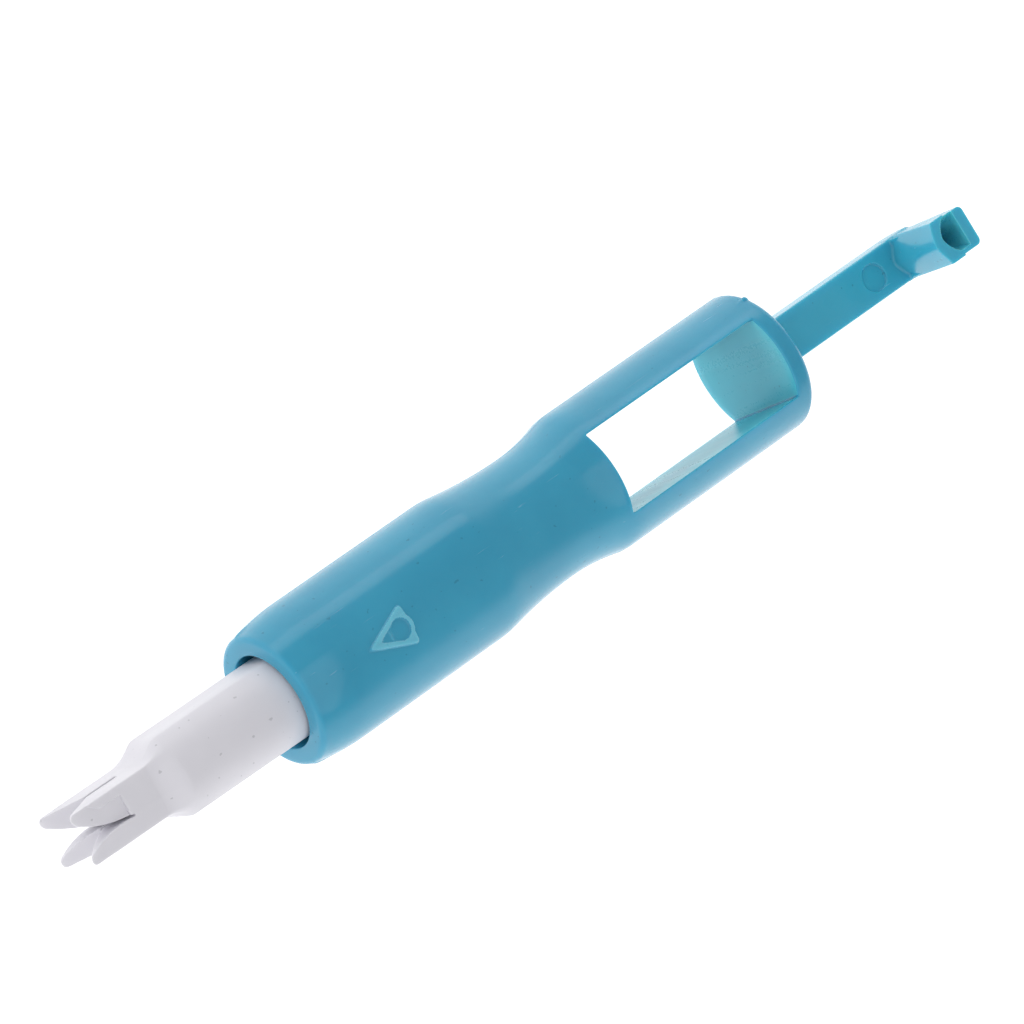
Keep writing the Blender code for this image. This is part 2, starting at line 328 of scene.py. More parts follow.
def field_piece(name, solid, xs, ys, zs):
    """Mesh object of a distance field, its points and normals taken from the field itself."""
    points, faces = surface_net(solid, xs, ys, zs)
    for _ in range(2):
        slope = gradient(solid, points)
        size = np.maximum((slope ** 2).sum(1), 0.25)
        move = solid(*points.T)[:, None] * slope / size[:, None]
        points = points - np.clip(move, -0.05, 0.05)
    slope = gradient(solid, points, 0.02)
    normals = slope / np.maximum(np.linalg.norm(slope, axis=1), 1e-9)[:, None]
    mesh = bpy.data.meshes.new(name)
    mesh.from_pydata((points * MM).tolist(), [], faces.tolist())
    mesh.shade_smooth()
    mesh.normals_split_custom_set_from_vertices(normals.tolist())
    return add_object(name, mesh)


def add_object(name, mesh):
    obj = bpy.data.objects.new(name, mesh)
    bpy.context.scene.collection.objects.link(obj)
    obj.location.z = AXIS_Z * MM
    return obj


# ---------------------------------------------------------------- handle

def smooth_min(a, b, blend):
    h = min(max(0.5 + 0.5 * (b - a) / blend, 0.0), 1.0)
    return b + (a - b) * h - blend * h * (1 - h)


def handle_radius(x):
    """Outer radius of the handle: a cylinder with a bowed front taper and a waist."""
    taper_curve = (TAPER_END_X - MOUTH_X) ** 2 / (2 * (HANDLE_R - MOUTH_R))
    front = HANDLE_R - min(0.0, x - TAPER_END_X) ** 2 / (2 * taper_curve)
    curve = WAIST_CURVE_FRONT if x < WAIST_X else WAIST_CURVE_REAR
    waist = WAIST_R + (x - WAIST_X) ** 2 / (2 * curve)
    return smooth_min(front, waist, WAIST_BLEND)


def triangle_distance(x, y):
    """Signed distance to the arrow's outline, with round corners."""
    length = MARK_BASE_X - MARK_TIP_X
    slant = math.hypot(length, MARK_HALF_W)
    across = np.hypot(y - MARK_Y, MARK_TIP_R)
    side = (across * length - (x - MARK_TIP_X) * MARK_HALF_W) / slant
    return both(side, x - MARK_BASE_X, MARK_CORNER_R)


def bead(distance, half_width):
    """Height of a half-round bead, 1 on its line."""
    return np.sqrt(np.clip(1 - (distance / half_width) ** 2, 0.0, 1.0))


def mark_height(x, y):
    """Rise of the arrow mark: beaded outline, solid base corners, sunken tip and ejector disc."""
    edge = triangle_distance(x, y)
    disc = np.hypot(x - DISC_X, y - MARK_Y)
    inside = step01(edge, -0.1, -0.35)
    outline = bead(edge + BEAD_INSET, BEAD_HALF_W)
    floor = MARK_FLOOR * inside
    corners = CORNER_RISE * inside * step01(x, DISC_X - 0.1, DISC_X + 0.3)
    bridge = BRIDGE_RISE * inside * bead(x - BRIDGE_X, BRIDGE_HALF_W)
    ring = RING_RISE * bead(disc - DISC_R - RING_OFFSET, RING_HALF_W)
    ring = ring * step01(x, DISC_X - 0.6, DISC_X)
    height = np.maximum.reduce([outline, floor, corners, bridge, ring])
    sunk = step01(disc, DISC_R + 0.02, DISC_R - 0.2)
    return MARK_RISE * (height + (DISC_FLOOR - height) * sunk)


def spaced(stops, steps):
    """Points through the stops, with about the given step in each stretch."""
    points = [stops[0]]
    for low, high, step in zip(stops, stops[1:], steps):
        n = max(1, round((high - low) / step))
        points += [low + (high - low) * i / n for i in range(1, n)] + [high]
    return points


def quarter(x_face, radius, edge, direction, steps=6):
    """Quarter circle in (x, radius) from an end face round to the outer wall."""
    points = []
    for i in range(steps + 1):
        angle = 0.5 * math.pi * i / steps
        points.append((x_face + direction * edge * (1 - math.sin(angle)),
                       radius - edge * (1 - math.cos(angle))))
    return points[::-1]


def handle_shell():
    """Turned body with the window cut through it, on one grid of rings and columns."""
    xs = spaced([MOUTH_X + MOUTH_EDGE, MARK_GRID_FRONT_X, MARK_GRID_REAR_X, WINDOW_FRONT_X,
                 WINDOW_REAR_X, HANDLE_END_X - REAR_EDGE], [0.6, MARK_GRID, 0.55, 0.7, 0.4])
    # Columns are angles from +Z towards +Y, dense at the mark, the nub and both seams
    coarse, nub_step, seam_step = 0.05, 0.012, 0.01
    mark_low = (MARK_Y - MARK_GRID_HALF_W) / HANDLE_R
    mark_high = (MARK_Y + MARK_GRID_HALF_W) / HANDLE_R
    half = math.asin(WINDOW_HALF_W / HANDLE_R)
    seam = SEAM_ANGLE
    top = spaced([-half, mark_low, mark_high, half], [coarse, MARK_GRID / HANDLE_R, coarse])
    across = spaced([half, NUB_ANGLE - NUB_SPAN, NUB_ANGLE + NUB_SPAN, seam - SEAM_SPAN,
                     seam + SEAM_SPAN, math.pi - half],
                    [coarse, nub_step, coarse, seam_step, coarse])
    under = spaced([math.pi - half, math.pi + half], [coarse])
    back = spaced([math.pi + half, 3 * seam - SEAM_SPAN, 3 * seam + SEAM_SPAN,
                   2 * math.pi - half], [coarse, seam_step, coarse])
    columns = top[:-1] + across[:-1] + under[:-1] + back[:-1]
    top_n, across_n = len(top) - 1, len(across) - 1
    under_n = len(under) - 1
    corner = [0, top_n, top_n + across_n, top_n + across_n + under_n]
    count = len(columns)

    def ring(x, radius, relief):
        """Points round one section; the columns at the window's sides stay at its width."""
        at = math.asin(min(WINDOW_HALF_W / radius, 1.0)) if radius > 5 else half
        angles = []
        for a in columns:
            if a <= half:
                angles.append(a * at / half)
            elif a <= math.pi - half:
                angles.append(at + (a - half) * (math.pi - 2 * at) / (math.pi - 2 * half))
            elif a <= math.pi + half:
                angles.append(math.pi + (a - math.pi) * at / half)
            else:
                angles.append(math.pi + at + (a - math.pi - half)
                              * (math.pi - 2 * at) / (math.pi - 2 * half))
        angles = np.array(angles)
        y = radius * np.sin(angles)
        rise = np.zeros(count)
        if relief:
            upper = np.cos(angles) > 0.5
            rise[upper] = mark_height(x, y[upper])
            off = np.minimum(np.abs(angles - seam), np.abs(angles - 3 * seam))
            rise += SEAM_RISE * step01(off, 0.03, 0.008)
            flash = step01(x, MOUTH_X + 2.2, MOUTH_X + 0.8)
            flash = flash * step01(x, MOUTH_X + 0.3, MOUTH_X + 0.55)
            rise += FLASH_RISE * flash * step01(off, 0.08, 0.02)
            nub = np.hypot((x - NUB_X) / NUB_LENGTH, (angles - NUB_ANGLE) / NUB_WIDTH)
            rise += NUB_RISE * step01(nub, 1.0, 0.3)
        radial = radius + rise
        return np.stack([np.full(count, x), radial * np.sin(angles), radial * np.cos(angles)], 1)

    sections = [(BORE_FLOOR_X, 0.4, 0), (BORE_FLOOR_X, BORE_R - 0.3, 0), (BORE_FLOOR_X, BORE_R, 0)]
    sections += [(x, BORE_R, 0) for x in spaced([BORE_FLOOR_X, MOUTH_X + HOLE_EDGE], [-2.0])[1:]]
    for i in range(1, 5):
        angle = 0.5 * math.pi * i / 4
        sections.append((MOUTH_X + HOLE_EDGE * (1 - math.sin(angle)),
                         BORE_R + HOLE_EDGE * (1 - math.cos(angle)), 0))
    sections += [(MOUTH_X, r, 0) for r in spaced([BORE_R + HOLE_EDGE, MOUTH_R - MOUTH_EDGE],
                                                 [0.4])[1:-1]]
    lip = quarter(MOUTH_X, handle_radius(MOUTH_X + MOUTH_EDGE), MOUTH_EDGE, 1)
    sections += [(x, r, 1 if i > 2 else 0) for i, (x, r) in enumerate(lip)]
    first = len(sections)
    sections += [(x, handle_radius(x), 1) for x in xs[1:]]
    tail = quarter(HANDLE_END_X, HANDLE_R, REAR_EDGE, -1)[::-1]
    sections += [(x, r, 1 if i < 5 else 0) for i, (x, r) in enumerate(tail)][1:]
    sections += [(HANDLE_END_X, HANDLE_R - REAR_EDGE - 0.6, 0), (HANDLE_END_X, 3.0, 0),
                 (HANDLE_END_X, 0.4, 0)]

    bm = bmesh.new()
    rings = [[bm.verts.new(p) for p in ring(*section)] for section in sections]
    front = first + xs.index(WINDOW_FRONT_X) - 1
    rear = first + xs.index(WINDOW_REAR_X) - 1
    for r in range(len(rings) - 1):
        for c in range(count):
            opening = front <= r < rear and (c < corner[1] or corner[2] <= c < corner[3])
            if not opening:
                d = (c + 1) % count
                bm.faces.new((rings[r][c], rings[r + 1][c], rings[r + 1][d], rings[r][d]))
    bm.faces.new(rings[0])
    bm.faces.new(rings[-1][::-1])

    # Window walls: from the top rim straight down to the bottom one. They take the second slot,
    # the same turquoise made lighter as painted light.
    def wall(upper, lower):
        rows = [upper]
        for k in range(1, WINDOW_LEVELS):
            rows.append([bm.verts.new(a.co.lerp(b.co, k / WINDOW_LEVELS))
                         for a, b in zip(upper, lower)])
        rows.append(lower)
        return rows

    span = range(front, rear + 1)
    left = wall([rings[r][corner[0]] for r in span], [rings[r][corner[3]] for r in span])
    right = wall([rings[r][corner[1]] for r in span], [rings[r][corner[2]] for r in span])
    ends = []
    for r, pick in ((front, 0), (rear, -1)):
        upper = rings[r][:top_n + 1]
        rows = [upper]
        for k in range(1, WINDOW_LEVELS):
            row = [left[k][pick]]
            for vert in upper[1:-1]:
                x, y, z = vert.co
                row.append(bm.verts.new((x, y, z - 2 * z * k / WINDOW_LEVELS)))
            row.append(right[k][pick])
            rows.append(row)
        ends.append((rows, rings[r][corner[2]:corner[3] + 1]))
    for rows in [left, right] + [rows for rows, lower in ends]:
        for a, b in zip(rows, rows[1:]):
            for i in range(len(a) - 1):
                # Wall faces take slot 1, the turquoise lightened with painted light
                bm.faces.new((a[i], a[i + 1], b[i + 1], b[i])).material_index = 1
    for rows, lower in ends:
        bm.faces.new(rows[-1] + lower).material_index = 1
    bmesh.ops.recalc_face_normals(bm, faces=bm.faces)

    low_x, high_x = WINDOW_FRONT_X - 0.01, WINDOW_REAR_X + 0.01
    rims = [e for e in bm.edges
            if len(e.link_faces) == 2 and e.calc_face_angle(0.0) > RIM_MIN_ANGLE
            and all(low_x < v.co.x < high_x for v in e.verts)]
    bmesh.ops.bevel(bm, geom=rims, offset=WINDOW_RIM, segments=3, profile=0.5, affect="EDGES",
                    clamp_overlap=True)
    # Faces high on the arrow mark's beads take slot 2, the painted highlight
    for face in bm.faces:
        at = face.calc_center_median()
        if (MARK_TIP_X - 0.5 < at.x < MARK_BASE_X + 0.8 and abs(at.y - MARK_Y) < 2.2 and at.z > 0
                and mark_height(at.x, at.y) > PAINTED_RIM_SHARE * MARK_RISE):
            face.material_index = 2
    bmesh.ops.scale(bm, vec=(MM, MM, MM), verts=bm.verts)
    mesh = bpy.data.meshes.new("handle_shell")
    bm.to_mesh(mesh)
    bm.free()
    mesh.shade_smooth()
    mesh.set_sharp_from_angle(angle=math.radians(50))
    return add_object("handle_shell", mesh)


# ---------------------------------------------------------------- arm and needle holder

def holder_solid(x, y, z):
    """Arm with its dimple, the bowed column on its end and the socket for a needle."""
    arm = both(np.abs(y) - ARM_HALF_W, z - ARM_TOP_Z, ARM_EDGE)
    arm = both(arm, ARM_BOTTOM_Z - z, ARM_EDGE)
    corners = both(np.abs(y) - ARM_HALF_W, x - ARM_END_X, ARM_CORNER_R)
    arm = both(arm, corners, 0.2)
    heel = (x - ARM_END_X + HEEL + ARM_BOTTOM_Z - z) / math.sqrt(2)
    arm = both(arm, heel, HEEL_R)
    arm = np.maximum(arm, HANDLE_END_X - ARM_ROOT - x)
    dimple = both(np.hypot(x - DIMPLE_X, y) - DIMPLE_R, ARM_TOP_Z - DIMPLE_DEPTH - z, 0.1)
    arm = without(arm, dimple, 0.08)

    up = (z - ARM_TOP_Z) / (HOLDER_TOP_Z - ARM_TOP_Z)
    front_x = HOLDER_FOOT_X + (HOLDER_NOSE_X - 0.06 - HOLDER_FOOT_X) * up
    half_w = ARM_HALF_W - 0.08 * up
    depth = BOW_DEPTH - BOW_LOSS * up
    across = np.hypot(y, BOW_NOSE_R) - BOW_NOSE_R
    bow = ((front_x - x) * half_w + across * depth) / np.hypot(half_w, depth)
    bow = both(bow, np.abs(y) - half_w, 0.12)
    bow = both(bow, x - HOLDER_BLOCK_X, 0.08)
    block_w = BLOCK_HALF_W - 0.05 * up
    block = both(np.abs(y) - block_w, x - TOOL_END_X, BLOCK_CORNER_R)
    block = np.maximum(block, HOLDER_BLOCK_X - 0.5 - x)
    column = np.minimum(bow, block)
    column = both(column, z - HOLDER_TOP_Z, 0.1)
    column = np.maximum(column, ARM_TOP_Z - COLUMN_ROOT - z)
    body = either(arm, column, COLUMN_FILLET)
    body = both(body, np.abs(y) - ARM_HALF_W, 0.02)
    body = both(body, x - TOOL_END_X, 0.02)

    open_up = np.clip((z - FUNNEL_BOTTOM_Z) / (HOLDER_TOP_Z - FUNNEL_BOTTOM_Z), 0.0, 1.15)
    dx, dy = x - SOCKET_X, y - FUNNEL_SHIFT_Y * open_up
    away = np.hypot(dx, dy)
    c, s = dx / np.maximum(away, 1e-6), np.abs(dy) / np.maximum(away, 1e-6)
    flat = np.minimum(FUNNEL_REAR / np.maximum(c, 1e-6), FUNNEL_HALF_W / np.maximum(s, 1e-6))
    vee = ((np.maximum(-c, 0.0) / FUNNEL_FRONT) ** FUNNEL_POWER
           + (s / FUNNEL_HALF_W) ** FUNNEL_POWER + 1e-9) ** (-1 / FUNNEL_POWER)
    reach = np.where(c > 0, flat, vee)
    narrow = SOCKET_R - SOCKET_TAPER * step01(z, FUNNEL_BOTTOM_Z - 1.0, ARM_TOP_Z + 0.5)
    socket = (away - (narrow + (reach - narrow) * open_up)) * FIELD_SLACK
    socket = np.maximum(socket, SOCKET_FLOOR_Z - z)
    return without(body, socket, 0.06)


def line_socket(arm):
    """Second material slot, the same turquoise made lighter as painted light, on the walls of the
    socket and its funnel.
    """
    centre = Vector((SOCKET_X, 0, 0))
    for face in arm.data.polygons:
        out = face.center / MM - centre
        out.z = 0
        if face.center.z / MM > ARM_TOP_Z and out.length < 2.1 and out.dot(face.normal) < -0.3:
            face.material_index = 1


# ---------------------------------------------------------------- forked nose

def nose_solid(x, y, z):
    """Sliding nose: four prongs, the needle's V crossed by the thread's V and slit."""
    cr, sr = math.cos(NOSE_ROLL), math.sin(NOSE_ROLL)
    v, w = y * cr + z * sr, z * cr - y * sr
    pin_way = np.hypot(v, w)
    v = v - NOSE_LEAN * (MOUTH_X - x)
    away = np.hypot(v, w)
    roof = np.abs(w) + FORK_ROOF * np.maximum(-V_SKEW - v, 0.0)
    fork = both(np.abs(v) - FORK_HALF_W, roof - FORK_HALF_H, 0.15)
    bar = both(np.abs(v) - NOSE_FLAT, away - NOSE_R, 0.1)
    share = step01(x, SHOULDER_FRONT_X, SHOULDER_REAR_X)
    body = fork + (bar - fork) * share
    body = both(body, x - NOSE_REAR_X, 0.2)

    run = x - NOSE_TIP_X
    left = np.clip(1 - run / V_DEPTH, 0.0, 1.3)
    v_half = V_FLOOR + (V_HALF_W - V_FLOOR) * left ** V_CURVE
    v_centre = -V_SKEW * np.clip(run / V_DEPTH, 0.0, 1.0)
    vee = (np.abs(v - v_centre) - v_half) / 1.08
    vee = both(vee, run - V_DEPTH, 0.1)
    half_w = FORK_HALF_W + 3 * step01(run, 2.0, 6.0)
    plan = without(both(np.abs(v) - half_w, -run, TIP_R), vee, TIP_V_R)

    slant = np.abs(v) - FORK_HALF_W + (run - RECESS_START) * RECESS_SLOPE
    slant = slant / math.hypot(1, RECESS_SLOPE)
    straight = both(np.abs(v) - RECESS_HALF_W, run - RECESS_END, 0.12)
    pocket = np.minimum(slant, straight)
    pocket = np.maximum(pocket, np.maximum(run - RECESS_END, -v - 0.4))
    sag = (1 - np.minimum(np.abs(v) / 1.6, 1.0)) * step01(run, 0.5, 3.0)
    floor = FORK_HALF_H - RECESS_DEPTH - RECESS_SAG * sag
    pocket = both(pocket, floor - np.abs(w), 0.05)
    body = without(body, pocket, 0.06)
    body = both(body, plan, 0.06)

    t_slope = (THREAD_V_HALF_H - SLIT_HALF_H) / THREAD_V_DEPTH
    t_half = np.maximum(THREAD_V_HALF_H - t_slope * run, -1.0)
    thread = (np.abs(w) - t_half) / math.hypot(1, t_slope)
    slit = both(np.abs(w) - SLIT_HALF_H, x - SLIT_END_X, 0.1)
    body = without(body, np.minimum(thread, slit), 0.07)

    groove = np.maximum(pin_way - PIN_GROOVE_R, PIN_GROOVE_RUN - run)
    channel = np.maximum(pin_way - PIN_CHANNEL_R, V_DEPTH - 0.3 - run)
    inside = np.minimum(groove, channel)
    cavity = np.maximum(away - CAVITY_R, np.maximum(CAVITY_FRONT_X - x, x - FLANGE_FRONT_X))
    flange = np.maximum(away - FLANGE_R, FLANGE_FRONT_X - 0.5 - x)
    return np.maximum(body, -np.minimum(np.minimum(inside, cavity), flange))


# ---------------------------------------------------------------- hidden workings

def turned(name, profile, steps=40):
    """Lathe (x, radius) points about the tool's axis, closed at both ends."""
    bm = bmesh.new()
    rings = []
    for x, radius in profile:
        rings.append([bm.verts.new((x * MM, radius * MM * math.cos(a), radius * MM * math.sin(a)))
                      for a in (2 * math.pi * i / steps for i in range(steps))])
    for a, b in zip(rings, rings[1:]):
        for i in range(steps):
            j = (i + 1) % steps
            bm.faces.new((a[i], a[j], b[j], b[i]))
    bm.faces.new(rings[0])
    bm.faces.new(rings[-1])
    bmesh.ops.recalc_face_normals(bm, faces=bm.faces)
    mesh = bpy.data.meshes.new(name)
    bm.to_mesh(mesh)
    bm.free()
    mesh.shade_smooth()
    mesh.set_sharp_from_angle(angle=math.radians(35))
    return add_object(name, mesh)


def pin_profile():
    tip, end = PIN_LOW.x, PIN_HIGH.x
    radius = (PIN_HIGH.z - PIN_LOW.z) / 2
    return [(tip, 0.03), (tip + 0.02, 0.065), (tip + 0.06, PIN_TIP_R), (tip + PIN_TAPER, radius),
            (end - 0.08, radius), (end, radius - 0.08)]


def carrier_profile():
    """Plug with a stem and a retaining head, bored from the front for the pin."""
    front, rear = CARRIER_LOW.x, CARRIER_HIGH.x
    disc = (CARRIER_HIGH.z - CARRIER_LOW.z) / 2
    edge = 0.2
    return [(PIN_SEAT_X, 0.1), (PIN_SEAT_X, PIN_CHANNEL_R), (front + edge, PIN_CHANNEL_R),
            (front, PIN_CHANNEL_R + edge), (front, CARRIER_HEAD_R - edge),
            (front + edge, CARRIER_HEAD_R), (CARRIER_HEAD_REAR_X, CARRIER_HEAD_R),
            (CARRIER_HEAD_REAR_X, CARRIER_STEM_R), (CARRIER_DISC_FRONT_X - edge, CARRIER_STEM_R),
            (CARRIER_DISC_FRONT_X, CARRIER_STEM_R + edge), (CARRIER_DISC_FRONT_X, disc - edge),
            (CARRIER_DISC_FRONT_X + edge, disc), (rear - edge, disc), (rear, disc - edge),
            (rear, 0.1)]


def spring_coil():
    """Compression spring of round wire with closed end coils."""
    front, rear = SPRING_LOW.x + SPRING_WIRE_R, SPRING_HIGH.x - SPRING_WIRE_R
    total = SPRING_TURNS + 2 * SPRING_END_TURNS
    pitch = (rear - front - 2 * SPRING_END_TURNS * SPRING_END_PITCH) / SPRING_TURNS
    per_turn, sides = 40, 12
    count = round(total * per_turn)
    bm = bmesh.new()
    rings = []
    for i in range(count + 1):
        turn = total * i / count
        live = min(max(turn - SPRING_END_TURNS, 0.0), SPRING_TURNS)
        x = front + live * pitch + (turn - live) * SPRING_END_PITCH
        out = Vector((0, math.cos(2 * math.pi * turn), math.sin(2 * math.pi * turn)))
        ring = []
        for k in range(sides):
            around = 2 * math.pi * k / sides
            at = out * (SPRING_R + SPRING_WIRE_R * math.cos(around))
            at.x = x + SPRING_WIRE_R * math.sin(around)
            ring.append(bm.verts.new(at * MM))
        rings.append(ring)
    for a, b in zip(rings, rings[1:]):
        for k in range(sides):
            m = (k + 1) % sides
            bm.faces.new((a[k], a[m], b[m], b[k]))
    bm.faces.new(rings[0])
    bm.faces.new(rings[-1])
    bmesh.ops.recalc_face_normals(bm, faces=bm.faces)
    mesh = bpy.data.meshes.new("spring_coil")
    bm.to_mesh(mesh)
    bm.free()
    mesh.shade_smooth()
    mesh.set_sharp_from_angle(angle=math.radians(50))
    return add_object("spring_coil", mesh)


# ---------------------------------------------------------------- materials

class Finish:
    """Node material: colour variation, roughness and bump from noise in the object's own space."""

    def __init__(self, name):
        self.material = bpy.data.materials.new(name)
        self.material.use_nodes = True
        self.tree = self.material.node_tree
        self.shader = self.tree.nodes["Principled BSDF"]
        self.coords = self.tree.nodes.new("ShaderNodeTexCoord")

    def noise(self, scale, detail=3.0, stretch=(1, 1, 1)):
        """Noise with its scale per metre, drawn out along the axes with a small stretch."""
        space = self.tree.nodes.new("ShaderNodeMapping")
        space.inputs["Scale"].default_value = stretch
        self.tree.links.new(self.coords.outputs["Object"], space.inputs["Vector"])
        node = self.tree.nodes.new("ShaderNodeTexNoise")
        node.inputs["Scale"].default_value = scale
        node.inputs["Detail"].default_value = detail
        self.tree.links.new(space.outputs["Vector"], node.inputs["Vector"])
        return node.outputs["Fac"]

    def remap(self, value, low, high, to_low, to_high):
        node = self.tree.nodes.new("ShaderNodeMapRange")
        for socket, number in (("From Min", low), ("From Max", high),
                               ("To Min", to_low), ("To Max", to_high)):
            node.inputs[socket].default_value = number
        self.tree.links.new(value, node.inputs["Value"])
        return node.outputs["Result"]

    def maths(self, operation, a, b):
        node = self.tree.nodes.new("ShaderNodeMath")
        node.operation = operation
        for socket, value in zip(node.inputs, (a, b)):
            if isinstance(value, (int, float)):
                socket.default_value = value
            else:
                self.tree.links.new(value, socket)
        return node.outputs[0]

    def blend(self, share, a, b):
        node = self.tree.nodes.new("ShaderNodeMix")
        node.data_type = "RGBA"
        self.tree.links.new(share, node.inputs["Factor"])
        for socket, value in ((node.inputs[6], a), (node.inputs[7], b)):
            if isinstance(value, tuple):
                socket.default_value = (*value, 1)
            else:
                self.tree.links.new(value, socket)
        return node.outputs[2]

    def finish(self, colour, roughness, height, depth_mm, strength, **fixed):
        bump = self.tree.nodes.new("ShaderNodeBump")
        bump.inputs["Distance"].default_value = depth_mm * MM
        bump.inputs["Strength"].default_value = strength
        self.tree.links.new(height, bump.inputs["Height"])
        self.tree.links.new(bump.outputs["Normal"], self.shader.inputs["Normal"])
        self.tree.links.new(colour, self.shader.inputs["Base Color"])
        self.tree.links.new(roughness, self.shader.inputs["Roughness"])
        for name, value in fixed.items():
            self.shader.inputs[name.replace("_", " ")].default_value = value
        return self.material


def moulded_plastic(name, deep, pale, rough, flow, stain, **fixed):
    """Glossy or satin moulding: flow marks, fine grain, hairline scratches and a few specks."""
    f = Finish(name)
    cloud = f.remap(f.noise(140.0), 0.35, 0.65, 0.0, 1.0)
    grain = f.noise(5200.0, 4.0)
    marks = f.noise(520.0, 3.0, flow)
    scratch = f.remap(f.noise(3800.0, 2.0, (0.06, 1.0, 0.8)), 0.72, 0.8, 0.0, 1.0)
    speck = f.remap(f.noise(2700.0, 0.0), 0.825, 0.86, 0.0, 1.0)
    colour = f.blend(cloud, deep, pale)
    colour = f.blend(f.maths("MULTIPLY", speck, 0.45), colour, stain)
    colour = f.blend(f.maths("MULTIPLY", scratch, 0.06), colour, (0.9, 0.95, 1.0))
    roughness = f.remap(marks, 0.3, 0.7, rough * 0.8, rough * 1.2)
    roughness = f.maths("ADD", roughness, f.remap(grain, 0.3, 0.7, -0.02, 0.03))
    roughness = f.maths("ADD", roughness, f.maths("MULTIPLY", scratch, 0.18))
    height = f.maths("ADD", f.maths("MULTIPLY", grain, 0.35), marks)
    height = f.maths("SUBTRACT", height, f.maths("MULTIPLY", scratch, 0.3))
    return f.finish(colour, roughness, height, 0.006, 0.35, **fixed)


def drawn_steel():
    f = Finish("drawn_steel")
    lines = f.noise(2600.0, 5.0, (0.05, 1.0, 1.0))
    tint = f.noise(400.0)
    colour = f.blend(f.remap(tint, 0.3, 0.7, 0.0, 1.0), (0.52, 0.52, 0.54), (0.68, 0.68, 0.70))
    return f.finish(colour, f.remap(lines, 0.3, 0.7, 0.2, 0.42), lines, 0.004, 0.3, Metallic=1.0)


def floor_sheet():
    f = Finish("floor_sheet")
    fibre = f.noise(900.0, 4.0)
    colour = f.blend(fibre, (0.29, 0.29, 0.29), (0.31, 0.31, 0.31))
    return f.finish(colour, f.remap(fibre, 0.3, 0.7, 0.85, 0.95), fibre, 0.01, 0.1,
                    Emission_Strength=FLOOR_LIGHT, Emission_Color=(1, 1, 1, 1),
                    Specular_IOR_Level=0.0)


# ---------------------------------------------------------------- stage

def make_camera():
    data = bpy.data.cameras.new("camera")
    data.lens = CAMERA_LENS
    data.sensor_width = 36.0
    data.clip_start, data.clip_end = 0.05, 10.0
    camera = bpy.data.objects.new("camera", data)
    bpy.context.scene.collection.objects.link(camera)
    right, up = CAMERA_RIGHT.normalized(), CAMERA_UP.normalized()
    back = right.cross(up)
    turn = Matrix((right, up, back)).transposed()
    camera.matrix_world = Matrix.Translation(CAMERA_AT) @ turn.to_4x4()
    bpy.context.scene.camera = camera


def make_floor():
    bm = bmesh.new()
    corners = ((-1, -1), (1, -1), (1, 1), (-1, 1))
    bm.faces.new([bm.verts.new((x * FLOOR_HALF_W, y * FLOOR_HALF_W, 0)) for x, y in corners])
    mesh = bpy.data.meshes.new("floor")
    bm.to_mesh(mesh)
    bm.free()
    floor = bpy.data.objects.new("floor", mesh)
    bpy.context.scene.collection.objects.link(floor)
    mesh.materials.append(floor_sheet())


def area_light(name, at, target, size_x, size_y, power):
    data = bpy.data.lights.new(name, "AREA")
    data.shape = "RECTANGLE"
    data.size, data.size_y = size_x, size_y
    data.energy = power
    lamp = bpy.data.objects.new(name, data)
    bpy.context.scene.collection.objects.link(lamp)
    at, target = Vector(at), Vector(target)
    lamp.location = at
    lamp.rotation_euler = (target - at).to_track_quat("-Z", "Y").to_euler()
    return lamp


def make_light():
    world = bpy.data.worlds.new("world")
    bpy.context.scene.world = world
    world.use_nodes = True
    nodes, links = world.node_tree.nodes, world.node_tree.links
    coords = nodes.new("ShaderNodeTexCoord")
    split = nodes.new("ShaderNodeSeparateXYZ")
    ramp = nodes.new("ShaderNodeMapRange")
    ramp.interpolation_type = "SMOOTHSTEP"
    ramp.inputs["From Min"].default_value = HORIZON_TOP
    ramp.inputs["From Max"].default_value = HORIZON_FOOT
    ramp.inputs["To Min"].default_value = SKY_LIGHT
    ramp.inputs["To Max"].default_value = HORIZON_LIGHT
    links.new(coords.outputs["Generated"], split.inputs[0])
    links.new(split.outputs["Z"], ramp.inputs["Value"])
    links.new(ramp.outputs["Result"], nodes["Background"].inputs["Strength"])
    nodes["Background"].inputs["Color"].default_value = (1, 1, 1, 1)
    area_light("softbox", (0, 0.55, 0.2), (0, 0, 0), 0.9, 0.2, SIDE_LIGHT)
    area_light("overhead", (-0.38, -0.42, 0.8), (-0.38, -0.42, 0), 1.26, 1.38, TOP_LIGHT)


# ---------------------------------------------------------------- build

def place(piece, materials, body, node=None):
    for material in materials:
        piece.data.materials.append(material)
    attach(piece, body)
    if node:
        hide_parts(node)


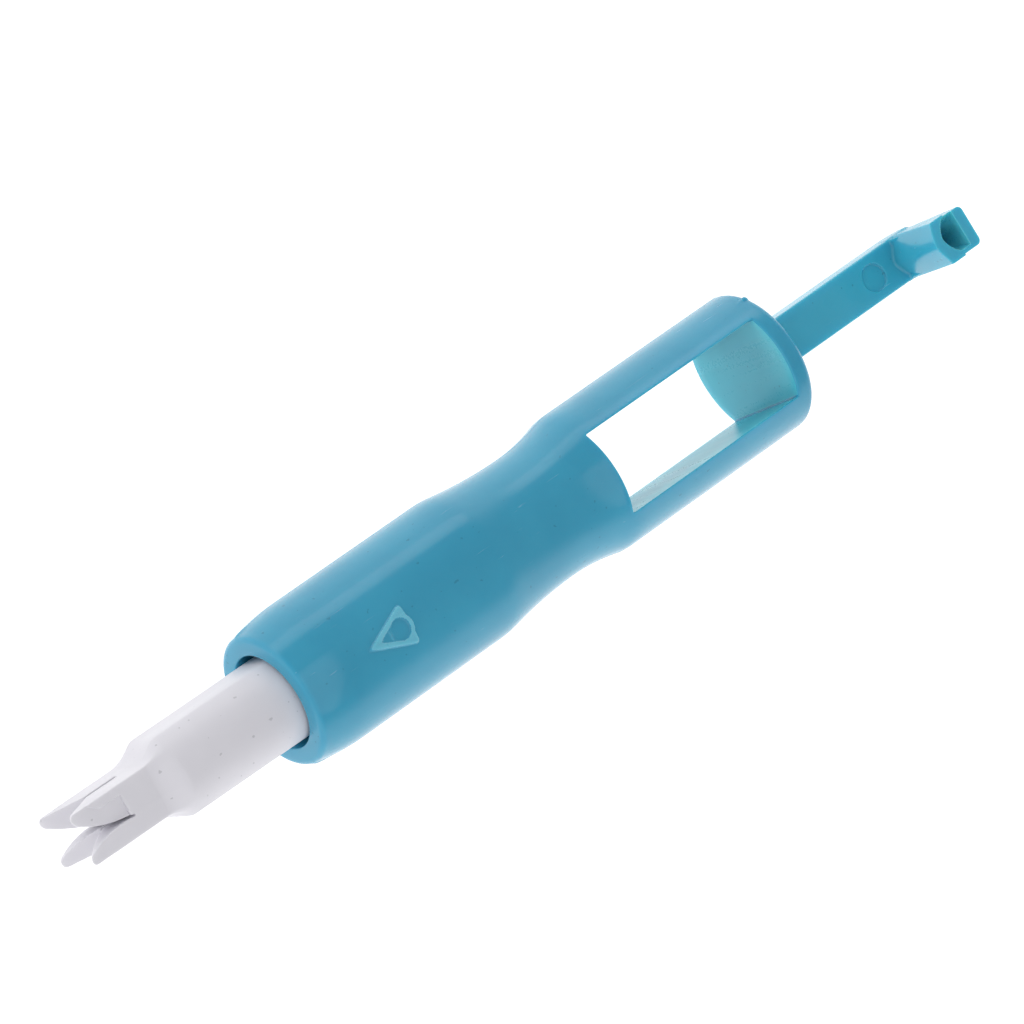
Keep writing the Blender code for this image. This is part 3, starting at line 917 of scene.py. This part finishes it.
def build():
    turquoise = moulded_plastic(
        "turquoise_plastic", (0.034, 0.315, 0.485), (0.042, 0.345, 0.52), 0.15, (0.25, 1, 1),
        (0.02, 0.16, 0.25), Subsurface_Weight=0.5, Subsurface_Scale=0.0012,
        Subsurface_Radius=TURQUOISE_SCATTER)
    # Window and socket walls: the same turquoise made lighter, painted light standing in for the
    # light these walls catch; their higher roughness is their own
    painted_lit_wall = moulded_plastic(
        "turquoise_cut_face", (0.08, 0.50, 0.61), (0.11, 0.58, 0.68), 0.3, (1, 1, 0.06),
        (0.02, 0.18, 0.26), Subsurface_Weight=0.5, Subsurface_Scale=0.0012,
        Subsurface_Radius=TURQUOISE_SCATTER)
    # The arm: the same turquoise made lighter, painted light for light shining through the thin
    # plastic; the wider scatter is rendered
    thin_arm_painted_light = moulded_plastic(
        "turquoise_thin_wall", (0.045, 0.385, 0.545), (0.053, 0.415, 0.58), 0.2, (0.25, 1, 1),
        (0.02, 0.16, 0.25), Subsurface_Weight=0.5, Subsurface_Scale=0.0015,
        Subsurface_Radius=TURQUOISE_SCATTER)
    # Arrow mark's raised beads: the same turquoise made lighter, a painted highlight for the light
    # the beads catch
    painted_highlight_rim = moulded_plastic(
        "turquoise_worn_rim", (0.09, 0.43, 0.58), (0.15, 0.51, 0.65), 0.3, (1, 1, 1),
        (0.02, 0.16, 0.25), Subsurface_Weight=0.5, Subsurface_Scale=0.0006,
        Subsurface_Radius=TURQUOISE_SCATTER)
    white = moulded_plastic(
        "white_plastic", (0.70, 0.69, 0.74), (0.735, 0.725, 0.775), 0.42, (0.3, 1, 1),
        (0.35, 0.35, 0.38), Subsurface_Weight=0.2, Subsurface_Scale=0.0008,
        Subsurface_Radius=(1.0, 1.0, 1.0))
    steel = drawn_steel()

    place(handle_shell(), [turquoise, painted_lit_wall, painted_highlight_rim], "handle_body",
          "handle")
    xs = spaced([HANDLE_END_X - 0.7, 42.0, 46.0, TOOL_END_X + 0.2], [0.3, ARM_STEP, FINE_STEP])
    ys = spaced([-2.3, 2.3], [FINE_STEP])
    zs = spaced([ARM_BOTTOM_Z - 0.2, HOLDER_TOP_Z + 0.2], [FINE_STEP])
    arm = field_piece("handle_arm", holder_solid, np.array(xs), np.array(ys), np.array(zs))
    line_socket(arm)
    place(arm, [thin_arm_painted_light, painted_lit_wall], "handle_body")
    xs = spaced([NOSE_TIP_X - 0.2, -38.6, -37, NOSE_REAR_X + 0.2], [FINE_STEP, 0.2, 0.6])
    ys = spaced([-4.2, 4.2], [FINE_STEP])
    nose = field_piece("nose", nose_solid, np.array(xs), np.array(ys), np.array(ys))
    place(nose, [white], "nose_body", "threader_nose")
    place(turned("carrier_plug", carrier_profile()), [white], "handle_body",
          "pin_carrier")
    place(turned("pin_wire", pin_profile(), 24), [steel], "handle_body", "threading_pin")
    coil = spring_coil()
    place(coil, [steel], "handle_body", "return_spring")
    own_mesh(coil)


make_camera()
make_floor()
make_light()
build()
bpy.context.scene.view_settings.view_transform = "Standard"
